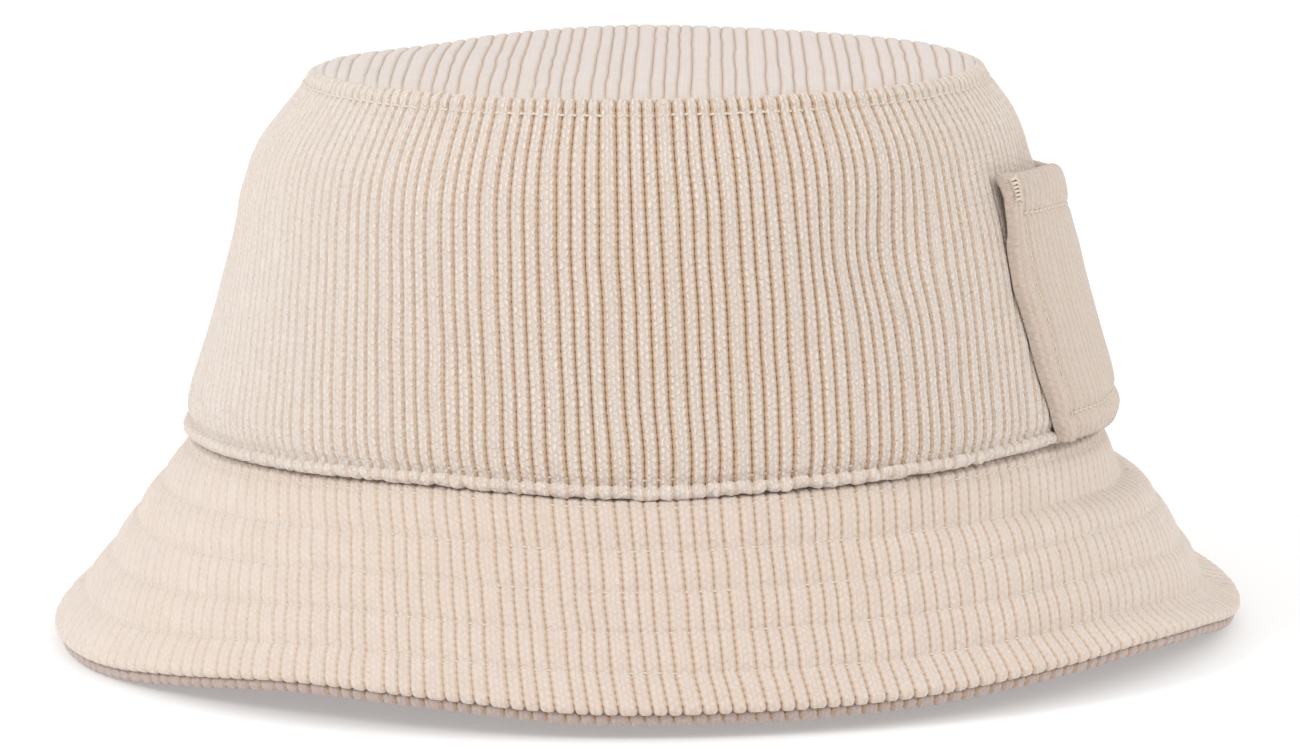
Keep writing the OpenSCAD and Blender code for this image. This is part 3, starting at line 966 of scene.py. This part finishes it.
def pocket_turn(across, h):
    """Degrees round the hat, for a place from -1 to 1 across the pocket. Its sides bow out."""
    return across * (POCKET_TURN + along_line(SIDE_BOW, h) * np.where(across < 0, 1.0, 0.4))


def pocket_mouth(across):
    """The height of the mouth, which falls towards the back and sags in the middle."""
    fall = np.where(across > -0.3, 4.4 * (across + 0.3), 0)
    return POCKET_H - 0.8 - fall - 2.2 * (1 - across**2)**2 + 0.3 * noise(across * 4, 0, 62)


def pocket_face(across, h):
    """How far the pocket's face stands off the wall. It lies on the crown along the stitching,
    swells a little between, and gapes towards the mouth. Its free edges curl up in places."""
    seam_at = 1 - EDGE_TURN / POCKET_TURN
    inner = np.clip(np.abs(across) / seam_at, 0, 1)
    lip = np.clip((np.abs(across) - seam_at) / (1 - seam_at), 0, 1)
    below = pocket_mouth(across) - h
    gape = 2.7 * np.exp(-(np.maximum(below, 0) / 9.5)**1.6)
    shape = hump((across + 0.35) / 0.5) * (1 - inner**6)
    face = 2.5 + gape * (0.3 + 0.7 * shape)
    curl = hump((h - 46) / 6)
    face = face + 0.8 * np.sin(np.pi * np.clip(lip * 0.8, 0, 1)) + (1.5 * curl - 0.6) * ease(lip - 0.2)
    face = face - 0.45 * hump((np.abs(across) - seam_at) * POCKET_TURN * POCKET_MM / 0.8)
    face = face - 0.5 * hump((below - HEM) / 0.8) * (1 - ease(lip / 0.3)) + 0.5 * hump((below - 3.8) / 3)
    face = face - 0.7 * hump((h - BASE_CREASE) / 1.0) + 0.6 * hump((h - 2.8) / 1.9)
    nubs = 0.22 * noise(across * 38, h / 1.3, 63) * ease(lip * 2)
    return face + 0.2 * noise(across * 5, h / 12, 61) + nubs


def pocket_panel():
    """The panel with its mouth turned in as a hem and its sides folded under."""
    wales = columns(-30, 30)
    group = group_count(wales)[:, None]
    foot, straight_end = 0.6, 45.0
    up = np.concatenate([
        [foot, 1.0, 1.6, 2.2, 3.0, 3.8, 4.5, 5.0, 5.5, 6.0, 6.6, 7.4], np.arange(8.5, straight_end, 1.2)])
    hem = np.array([9.6, 8.9, 8.4, 8.0, 7.6, 7.1, 6.4, 5.5, 4.6, 3.7, 2.9, 2.2])
    fold = np.linspace(0, np.pi, 9)
    fold_r = 1.5
    face_rows, inner_rows = len(up) + len(hem), 24
    layer = np.concatenate([np.zeros(face_rows), (1 - np.cos(fold)) / 2, np.ones(inner_rows)])[None, :]
    across = np.clip((group * 11.6 - 1.5) / POCKET_MM / POCKET_TURN + 0 * layer, -1, 1)
    used = columns_within(across, 1)
    across, wales = across[used], wales[used]
    mouth = pocket_mouth(across[:, :1])
    top_up = mouth - hem[0]
    h = np.concatenate([
        foot + (up[None, :] - foot) / (straight_end - foot) * (top_up - foot), mouth - hem[None, :],
        mouth - fold_r + fold_r * np.sin(fold)[None, :],
        mouth - 2.2 + (2.8 - mouth) * np.linspace(0, 1, inner_rows)[None, :]], 1)
    wale = np.repeat(wales[:, None], across.shape[1], 1)
    to_edge = (1 - np.abs(across)) * POCKET_TURN * POCKET_MM
    rounding = np.sqrt(np.clip(1 - np.maximum(0, 1 - to_edge / 1.6)**2, 0.0004, 1))
    doubled = np.maximum(ease((h - mouth + HEM + 1) / 2), ease((7.0 - to_edge) / 1.5))
    face = pocket_face(across, h)
    clear = 0.15 + 1.2 * (1 - ease((h - 1.6) / 1.4))
    thick = np.minimum(POCKET_T + 1.1 * doubled, np.maximum(face - clear, 0.8))
    face = face + 0.25 * (wale_height(wale) - 0.6) * (1 - layer) * rounding
    nose = 0.2 * ease(1 - to_edge / 0.7)
    out = face - thick * (1 - 0.2 - 0.8 * rounding) * (1 - layer) - thick * (1 - nose) * layer
    turn = pocket_turn(across, h)
    index = np.arange(turn.size).reshape(turn.shape)
    run = np.concatenate([[0], np.cumsum(np.abs(np.diff(h[len(h) // 2])) + np.abs(np.diff(layer[0])) * 2)])
    # The third part is the groove shade: more painted shade in the grooves and between tufts near the
    # sides, where the lip is nubby.
    grain = np.stack([wale, run[None, :] + 0 * wale, 0.1 + 0.25 * ease((9 - to_edge) / 3)], -1)
    points = on_wall(turn, h, out).reshape(-1, 3)
    piece = mesh_piece("pocket_cloth", points, tube_faces(index), grain.reshape(-1, 3))
    bend(finish_piece(piece, POCKET_CLOTH_SHADED, "pocket_panel", body=None))


def bend(piece):
    """Bakes the piece's placement into its points. The pocket is sewn down along its sides and base, and is
    not attached to a body.
    """
    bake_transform(piece)


def pocket_threads():
    """The stitches follow the pocket: a place on it is (across, height above the base seam)."""
    def place(across, h, out):
        return on_wall(pocket_turn(across, h), h, pocket_face(across, h) + out)

    per_mm = 1 / POCKET_MM / POCKET_TURN
    seam_at = 1 - EDGE_TURN / POCKET_TURN
    for side, name in ((-1, "front"), (1, "back")):
        mouth = float(pocket_mouth(np.array(side * seam_at)))
        row = Stitches()
        upright = np.arange(3.0, mouth - 1.5, STITCH + STITCH_GAP)
        row.add(place, side * seam_at + 0 * upright, upright, 0.1, (0, 1), (per_mm, 0))
        bend(finish_piece(row.piece(f"pocket_thread_{name}"), THREAD,
                          f"pocket_stitch_{name}", body=None))
        tack = Stitches()
        heights = np.linspace(mouth - 5.6, mouth - 1.2, 12)
        slant = np.where(np.arange(len(heights)) % 2, 0.25, -0.25)
        tack.add(place, side * (seam_at + 0.08) + 0 * heights, heights, 0.12,
                 (per_mm + 0 * slant, slant), (0, 1), length=3.5, bow=0.25)
        bend(finish_piece(tack.piece(f"pocket_tack_{name}"), THREAD,
                          f"pocket_bartack_{name}", body=None))
    across = np.arange(-seam_at + 0.03, seam_at - 0.02, (STITCH + STITCH_GAP) * per_mm)
    for h, name, node in ((pocket_mouth(across) - HEM, "pocket_hem_thread", "pocket_hem_stitch"),
                          (BASE_CREASE + 0 * across, "pocket_base_thread", "pocket_base_stitch")):
        row = Stitches()
        row.add(place, across, h, -0.1, (per_mm, 0), (0, 1))
        bend(finish_piece(row.piece(name), THREAD, node, body=None))


# ---------------------------------------------------------------- scene

def make_camera():
    distance, elevation, roll = 1.366, math.radians(8.6), math.radians(0.6)
    aim = Vector((0.0006, 0.0, 0.0382 + LIFT * MM))
    data = bpy.data.cameras.new("camera")
    data.lens, data.sensor_width = 186.7, 36.0
    data.shift_y = 0.0305
    camera = in_scene("camera", data)
    back = Vector((0, -math.cos(elevation), math.sin(elevation)))
    turned = (-back).to_track_quat("-Z", "Y").to_matrix().to_4x4() @ Matrix.Rotation(-roll, 4, "Z")
    camera.matrix_world = Matrix.Translation(aim + back * distance) @ turned
    bpy.context.scene.camera = camera


def area_light(name, place, size, power):
    data = bpy.data.lights.new(name, "AREA")
    data.shape, data.size, data.energy = "DISK", size, power
    light = in_scene(name, data)
    light.location = place
    light.rotation_mode = "QUATERNION"
    light.rotation_quaternion = (Vector((0, 0, 0.06)) - Vector(place)).to_track_quat("-Z", "Y")


def make_studio():
    n = Nodes("pale_floor")
    place = n.node("ShaderNodeTexCoord").outputs["Object"]
    n.put(n.shader.inputs["Base Color"], n.mix(
        n.noise(place, 3.0), colour(214, 214, 214), colour(218, 218, 218)))
    n.put(n.shader.inputs["Emission Color"], (1.0, 1.0, 1.0, 1.0))
    n.put(n.shader.inputs["Emission Strength"], 0.3)
    n.put(n.shader.inputs["Roughness"], 0.9)
    n.put(n.shader.inputs["Specular IOR Level"], 0.1)
    mesh = bpy.data.meshes.new("floor")
    half = 30.0
    corners = [(-half, -half, 0), (half, -half, 0), (half, half, 0), (-half, half, 0)]
    mesh.from_pydata(corners, [], [(0, 1, 2, 3)])
    mesh.materials.append(n.material)
    floor = in_scene("floor", mesh)
    world = bpy.data.worlds.new("studio")
    world.use_nodes = True
    backdrop = world.node_tree.nodes["Background"].inputs
    backdrop["Color"].default_value = (1.0, 1.0, 1.0, 1)
    backdrop["Strength"].default_value = 1.0
    bpy.context.scene.world = world
    area_light("key", (-1.4, -0.9, 1.1), 0.7, 11)
    area_light("fill", (1.4, -0.9, 1.0), 1.0, 6)
    bpy.context.scene.view_settings.view_transform = "Standard"


make_camera()
make_studio()
for half, side in HALVES:
    crown_side(half, f"crown_side_{side}_cloth", f"crown_side_{side}")
crown_top()
for make, name, node in ((brim_upper, "brim_upper_{}_cloth", "brim_upper_{}"),
                         (brim_under, "brim_under_{}_cloth", "brim_under_{}"),
                         (stiffener, "stiffener_{}_ply", "brim_stiffener_{}"),
                         (lining_side, "lining_{}_cloth", "lining_side_{}")):
    for half, side in HALVES:
        make(half, name.format(side), node.format(side))
lining_top()
sweatband()
hat_stitches()
pocket_panel()
pocket_threads()
